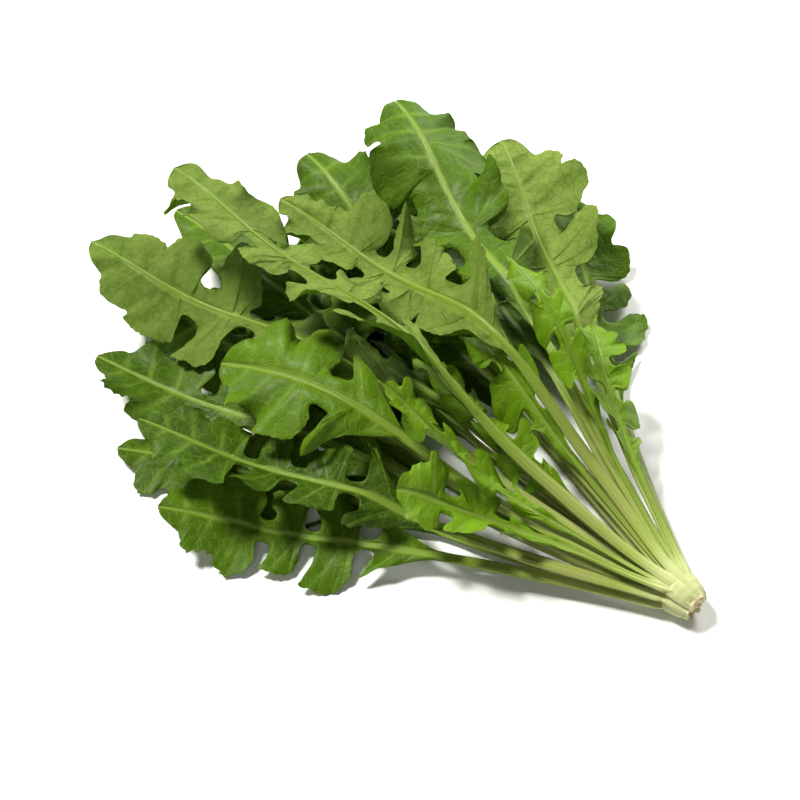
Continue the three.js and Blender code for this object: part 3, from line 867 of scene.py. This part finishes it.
def blade_skin(face, side, out, beside, depth, near_vein, pillow):
    """How far one face of the blade is above its middle, and each point's share of a side vein."""
    on_rib = out == 0
    thick = mix(BLADE_MIDDLE, BLADE_EDGE, out) / 2
    vein = near_vein * np.where(on_rib, 0, (1 - out) ** 0.6)
    round_rib = np.where(on_rib, np.sqrt(np.maximum(1 - side**2, 0)), 0)
    if face > 0:
        height = thick - VEIN_SINK * vein - RIB_SINK * round_rib * depth / STALK_DEPTH[2]
    else:
        fillet = FILLET * depth * np.exp(-beside / FILLET_WIDTH)
        height = -thick - VEIN_RAISE * vein - fillet - (depth - 2 * thick) * RIB_BELOW * round_rib
    return height + PUCKER * np.sin(np.pi * out**1.6) * pillow, vein


def stalk_ring(face, half, depth):
    """How far beside and above the stalk's middle its points are: ribbed, and grooved on top."""
    angle = np.pi * (np.arange(FACE_POINTS) + 0.5) / FACE_POINTS + (0 if face > 0 else np.pi)
    angle = angle[None, :]
    ridge = 1 + STALK_RIDGE * np.cos(STALK_RIDGES * angle)
    share = STALK_UP if face > 0 else 1 - STALK_UP
    groove = STALK_GROOVE * depth * np.exp(-((np.cos(angle) / GROOVE_WIDTH) ** 2)) if face > 0 else 0
    return half * np.cos(angle) * ridge, share * depth * np.sin(angle) * ridge - groove


def relief_of(leaf, r, s, d, side, out, edge_d, beside, lobe, turn):
    """How far the blade's waves, bends and dents lift a point."""
    arc = r / EDGE_WAVE_LENGTH
    wave = EDGE_WAVE * np.sin(arc + np.sin(arc * 0.37) * 2 + FULL_TURN * chance(leaf["seed"], 94)) * out**3
    bends = np.where(side > 0, lobe_bends(leaf, lobe, turn, 1), lobe_bends(leaf, lobe, turn, -1))
    twist = TWIST * np.sin(r / TWIST_LENGTH + FULL_TURN * chance(leaf["seed"], 95)) * d / leaf["reach"]
    dents = CRINKLE * crinkle(leaf, s, d) * (1 - np.exp(-np.maximum(beside, 0) / CRINKLE_FROM))
    relief = wave * np.abs(edge_d) / leaf["reach"] + bends * out**2.2 + twist + dents
    return np.where(out == 0, 0, relief)


def room_for(leaf, x, y):
    """How much of its relief a leaf has room for: less where the heap is low, and less deep inside it."""
    high = smooth((leaf["level"] - 0.3) / 0.5)
    return np.clip(heap_top(x, y) * CLEARANCE * mix(0.5, 1, high), LEAST_ROOM, MOST_ROOM)


def leaf_face(leaf, face, rows, winged, ribs):
    """One face's points in metres, as rows by ring places, and the attributes of each."""
    r, s_right, d_right, s_left, d_left, near_vein, pillow, lobe, turn = [row[:, None] for row in rows]
    order = slice(None) if face > 0 else slice(None, None, -1)
    side, out = FACE_SIDE[None, order], FACE_OUT[None, order]
    half, depth = stalk_at(leaf, r)
    half = half * mix(1, RIB_NARROW, winged)
    blade_s, blade_d, edge_d = blade_ring(side, out, half, ribs, (s_right, d_right), (s_left, d_left))
    beside = np.where(out == 0, 0, np.abs(blade_d) - half)
    blade_h, vein = blade_skin(face, side, out, beside, depth, near_vein, pillow)
    stalk_d, stalk_h = stalk_ring(face, half, depth)

    s = mix(r, blade_s, winged)
    d = mix(stalk_d, blade_d, winged)
    h = mix(stalk_h, blade_h, winged) * (-1 if leaf["turned"] else 1)
    relief = winged * relief_of(leaf, r, s, d, side, out, edge_d, beside, lobe, turn)
    x, y = under_leaf(leaf, s, d)
    z = layer_height(leaf, x, y) + own_lift(leaf, s, d) + relief * room_for(leaf, x, y) + h
    z = np.where(z > TOP_FROM, TOP_FROM + TOP_ROOM * np.tanh((z - TOP_FROM) / TOP_ROOM), z)
    lowest = 0 if (face > 0) == leaf["turned"] else mix(BLADE_MIDDLE, BLADE_EDGE, out)
    points = np.stack([x * MM + HOME[0], y * MM + HOME[1], np.maximum(z, lowest) * MM], axis=-1)

    rib = np.where(out == 0, 1, np.exp(-np.maximum(beside, 0) / RIB_FADE))
    rib = mix(1, rib, winged)
    along = np.broadcast_to(r / blade_start(leaf), rib.shape)
    upper = np.full(rib.shape, 1.0 if face > 0 else 0.0)
    flat = np.stack([s / 100 + leaf["seed"], d / 100 + (3 if face > 0 else 0)], axis=-1)
    return points, rib, vein * winged, along, upper, flat


def leaf_surface(leaf):
    """Both faces' points and attributes, as rows by places all round each ring."""
    rows, winged = all_rows(leaf)
    right, left = rib_places(leaf, rows[0], *rows[1:3]), rib_places(leaf, rows[0], *rows[3:5])
    ribs = (right[:, None], left[:, None])
    above = leaf_face(leaf, 1, rows, winged[:, None], ribs)
    below = leaf_face(leaf, -1, rows, winged[:, None], ribs)
    return [np.concatenate(pair, axis=1) for pair in zip(above, below)]


print("points round each ring:", 2 * FACE_POINTS)

# %% [markdown]
# Rolling a grid into a leaf
#
# A grid primitive has the right faces from the start. Its columns are laid round the leaf and its rows
# along it, the seam where its first and last columns meet is merged, and the two open ends are filled. The
# normals are then turned outwards, and only edges sharper than an angle stay sharp. The crown is made the
# same way.

# %% Rolling a grid into a leaf
SEAM_GAP = 1e-7
LEAF_SHARP = math.radians(50)


def new_grid(name, around, rows):
    """A grid to be rolled up, with the column and the row of each of its vertices."""
    deselect_all()
    bpy.ops.mesh.primitive_grid_add(x_subdivisions=around, y_subdivisions=rows - 1, size=1)
    piece = bpy.context.object
    piece.name = name
    places = np.empty(len(piece.data.vertices) * 3)
    piece.data.vertices.foreach_get("co", places)
    places = places.reshape(-1, 3)
    column = np.rint((places[:, 0] + 0.5) * around).astype(int) % around
    row = np.rint((places[:, 1] + 0.5) * (rows - 1)).astype(int)
    return piece, column, row


def shape_grid(piece, points, facts):
    """Moves the vertices to their points and keeps the facts that the finishes read."""
    piece.data.vertices.foreach_set("co", points.ravel())
    for fact, values in facts.items():
        piece.data.attributes.new(fact, "FLOAT", "POINT").data.foreach_set("value", values)


def close_grid(piece, sharp, finish):
    """Merges the seam, fills the ends, turns the faces outwards and gives the piece its finish."""
    bpy.ops.object.mode_set(mode="EDIT")
    bpy.ops.mesh.select_all(action="SELECT")
    bpy.ops.mesh.remove_doubles(threshold=SEAM_GAP)
    bpy.ops.mesh.fill_holes(sides=0)
    bpy.ops.mesh.select_all(action="SELECT")
    bpy.ops.mesh.normals_make_consistent(inside=False)
    bpy.ops.object.mode_set(mode="OBJECT")
    bpy.ops.object.shade_smooth_by_angle(angle=sharp)
    piece.data.materials.append(finish)
    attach(piece, "root")


def make_leaf(name, leaf):
    leaf["spine"] = spine_of(leaf)
    points, rib, vein, along, upper, flat = leaf_surface(leaf)
    piece, column, row = new_grid(name, rib.shape[1], rib.shape[0])
    tone = np.full_like(rib, leaf["tone"])
    facts = {"rib": rib, "vein": vein, "along": along, "upper": upper, "tone": tone}
    facts = {fact: values[row, column] for fact, values in facts.items()}
    shape_grid(piece, points[row, column], facts)
    corner = np.empty(len(piece.data.loops), dtype=int)
    piece.data.loops.foreach_get("vertex_index", corner)
    flat_map = piece.data.uv_layers.active
    flat_map.name = "flat_leaf"
    flat_map.data.foreach_set("uv", flat[row, column][corner].ravel())
    close_grid(piece, LEAF_SHARP, leaf_green)
    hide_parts("leaf_%02d" % leaf["seed"])
    return piece


faces_made = 0
for leaf in LEAVES:
    piece = make_leaf("fine_leaf_%02d" % leaf["seed"], leaf)
    faces_made += len(piece.data.polygons)
print("faces on the leaves:", faces_made)

# %% [markdown]
# The crown's finish
#
# The crown is cream-white where it was under the soil and shades into the green of the stalks. Fine fibres
# run along it, a little darker, and the grooves between the stalks are darkened with painted shade. Its cut
# is paler, tan in places and rougher. The attributes along, cut and groove say where each of these is.

# %% The crown's finish
CROWN_CREAM = (0.49, 0.515, 0.25)
# a dark green for the fibre lines and for the painted shade in the grooves between the stalks
CROWN_FIBRE_AND_SHADE = (0.33, 0.35, 0.13)
CUT_TAN = (0.62, 0.43, 0.2)
CUT_CREAM = (0.86, 0.8, 0.52)


def crown_finish():
    material, paint = new_material("crown_cream")
    where = paint.node("ShaderNodeTexCoord", output="Object")
    along = paint.attribute("along")
    cut = paint.attribute("cut")
    groove = paint.attribute("groove")
    stretched = paint.node("ShaderNodeMapping", {"Vector": where, "Scale": (110.0, 900.0, 900.0)})
    fibre = paint.noise(stretched, 1.0, detail=3.0, roughness=0.6)
    mottle = paint.noise(where, 700.0, detail=3.0, roughness=0.6)
    clouds = paint.noise(where, 240.0)
    flesh = (clouds * 0.6 + along * 0.5).between(0.2, 0.9).blend(STALK_CREAM, CROWN_CREAM)
    # fibre lines, and painted shade in the grooves between the stalks, both blended to the same dark green
    flesh = (fibre.between(0.5, 0.8) * 0.4 + groove * 0.6).blend(flesh, CROWN_FIBRE_AND_SHADE)
    tissue = (clouds * 0.6 + mottle * 0.5).between(0.36, 0.6).blend(CUT_TAN, CUT_CREAM)
    skin = (cut * 0.9 + mottle * 0.4 - 0.25).between(0.0, 0.7).blend(flesh, tissue)
    height = fibre * 0.6 + mottle * (0.3 + cut * 1.4)
    bump = paint.node("ShaderNodeBump", {"Height": height, "Strength": 0.7, "Distance": 0.0006})
    surface = paint.node(
        "ShaderNodeBsdfPrincipled",
        {"Base Color": skin, "Roughness": 0.45 + cut * 0.3, "Normal": bump, "IOR": 1.4},
    )
    through = paint.node("ShaderNodeBsdfTranslucent", {"Color": CROWN_CREAM})
    whole = paint.node("ShaderNodeMixShader", {0: 0.1, 1: surface, 2: through})
    paint.node("ShaderNodeOutputMaterial", {"Surface": whole})
    return material


crown_cream = crown_finish()
print("crown finish:", len(crown_cream.node_tree.nodes), "nodes")

# %% [markdown]
# The crown's ridges
#
# The stalks' bases join in the crown, and each of them runs on over it as a ridge. So in each direction
# round the crown's axis the outermost stalk says how far out the crown is at the face that the stalks grow
# from. A stalk's section is an ellipse there, so this is where a ray from the axis leaves the ellipse.

# %% The crown's ridges
CROWN_AXIS = 6.9
CROWN_AROUND = 216
RIDGE_LOW = 4.9
RIDGE_HIGH = 7.9
RIDGE_BLUR = 3
RIDGE_WIDTH = 0.86


def stalk_ridges(angles):
    """How far out from the crown's axis the outermost stalk reaches in each direction."""
    reach = np.full_like(angles, RIDGE_LOW)
    base = np.zeros(1)
    for leaf in LEAVES:
        beside = under_leaf(leaf, base, base)[1][0]
        middle = np.array([beside, HEAP_AT_CROWN * (leaf["seat"] + 0.5) / SEAT_ROWS - CROWN_AXIS])
        half, depth = stalk_at(leaf, base)
        size = RIDGE_WIDTH * np.array([half[0], depth[0] / 2])
        way = np.stack([np.cos(angles), np.sin(angles)], axis=-1) / size
        start = middle / size
        a, b, c = (way**2).sum(axis=-1), way @ start, (start**2).sum() - 1
        inside = b**2 - a * c
        reach = np.maximum(reach, np.where(inside > 0, (b + np.sqrt(np.maximum(inside, 0))) / a, 0))
    reach = np.minimum(reach, RIDGE_HIGH)
    window = range(-RIDGE_BLUR, RIDGE_BLUR + 1)
    return sum(np.roll(reach, shift) for shift in window) / len(window)


ridges = stalk_ridges(2 * np.pi * np.arange(CROWN_AROUND) / CROWN_AROUND)
print("ridges reach", ridges.min().round(1), "to", ridges.max().round(1), "mm from the axis")

# %% [markdown]
# The crown
#
# The crown is short and blunt, and cut through just under it. A turned profile alone would look like a
# cork, so its radius follows the stalks' ridges at the face, and they fade towards the cut. The rim of the
# cut is ragged, with a few torn stubs, and the cut's face is uneven and a little hollow.

# %% The crown
# Each pair: how far along the axis, from the face that the stalks grow from, and the radius there.
CROWN_PROFILE = [(-6, 3), (-3, 5.6), (0, 6.8), (2, 7), (5, 6.8), (8, 6.2), (9.6, 5.4), (10.6, 4.7)]
CROWN_RADIUS = np.array(CROWN_PROFILE)
RADIUS_AT_FACE = 6.8
CROWN_RINGS = 80
CROWN_SKIN = 0.8  # this share of the rings is on the outside, and the rest are on the cut
CUT_END = 11.4
RIDGE_KEPT = 0.6
FADED_BY = 9
INNER_RADIUS = 0.8
INNER_FROM = 3
WOBBLE = 0.02
RIM_WIDTH = 0.06
RAGGED_OUT = 0.45
RAGGED_ALONG = 0.55
RAGGED_LEAST = -0.2
LUMPS = 0.8
HOLLOW = 0.9
CROWN_SHARP = math.radians(60)


def crown_surface(angle, way, ridge):
    """Points in metres for angles round the axis and ways from 0, among the stalks, to 1, in mid-cut."""
    outside = np.clip(way / CROWN_SKIN, 0, 1)
    on_face = np.clip((way - CROWN_SKIN) / (1 - CROWN_SKIN), 0, 1)
    along = mix(CROWN_RADIUS[0, 0], CROWN_RADIUS[-1, 0], outside)
    radius = np.interp(along, CROWN_RADIUS[:, 0], CROWN_RADIUS[:, 1])
    kept = mix(1, RIDGE_KEPT, smooth(along / FADED_BY))
    inner = mix(INNER_RADIUS, 1, smooth((along + INNER_FROM) / (2 * INNER_FROM)))
    radius = radius * (1 + (ridge - 1) * kept) * inner
    wobble = np.sin(3 * angle + 0.7) + 0.6 * np.sin(5 * angle - along / 3)
    torn = 0.6 * np.sin(5 * angle + 1) + 0.5 * np.sin(11 * angle + 2) + 0.3 * np.sin(23 * angle)
    ragged = np.maximum(torn, RAGGED_LEAST) * np.exp(-(((way - CROWN_SKIN) / RIM_WIDTH) ** 2))
    radius = (radius * (1 + WOBBLE * wobble) + RAGGED_OUT * ragged) * np.sqrt(1 - on_face**2)
    lumps = np.sin(5 * angle + 9 * on_face) * np.sin(3 * angle - 2) * np.sin(np.pi * on_face)
    hollow = HOLLOW * smooth(on_face * 1.4) * (on_face > 0)
    along = np.minimum(along + RAGGED_ALONG * ragged + LUMPS * lumps - hollow, CUT_END)
    height = np.maximum(CROWN_AXIS + radius * np.sin(angle), 0)
    points = np.stack([along * MM + HOME[0], radius * np.cos(angle) * MM + HOME[1], height * MM], axis=-1)
    facts = {
        "along": np.clip(along / CUT_END, 0, 1),
        "cut": smooth((way - CROWN_SKIN + 0.05) / 0.09),
        # groove: where the grooves between the ridges are, which the finish darkens with painted shade
        "groove": smooth((1 - ridge) / 0.25) * (1 - on_face),
    }
    return points, facts


crown, column, row = new_grid("fine_crown", CROWN_AROUND, CROWN_RINGS)
around = 2 * np.pi * column / CROWN_AROUND
shape_grid(crown, *crown_surface(around, row / (CROWN_RINGS - 1), ridges[column] / RADIUS_AT_FACE))
close_grid(crown, CROWN_SHARP, crown_cream)
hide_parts("crown")
print("faces on the crown:", len(crown.data.polygons))

# %% [markdown]
# The finished pieces may pass the CAD model's box by very little.
#
# The view layer is updated last, so that every piece stands where it was put.

# %% Finishing
bpy.context.view_layer.update()
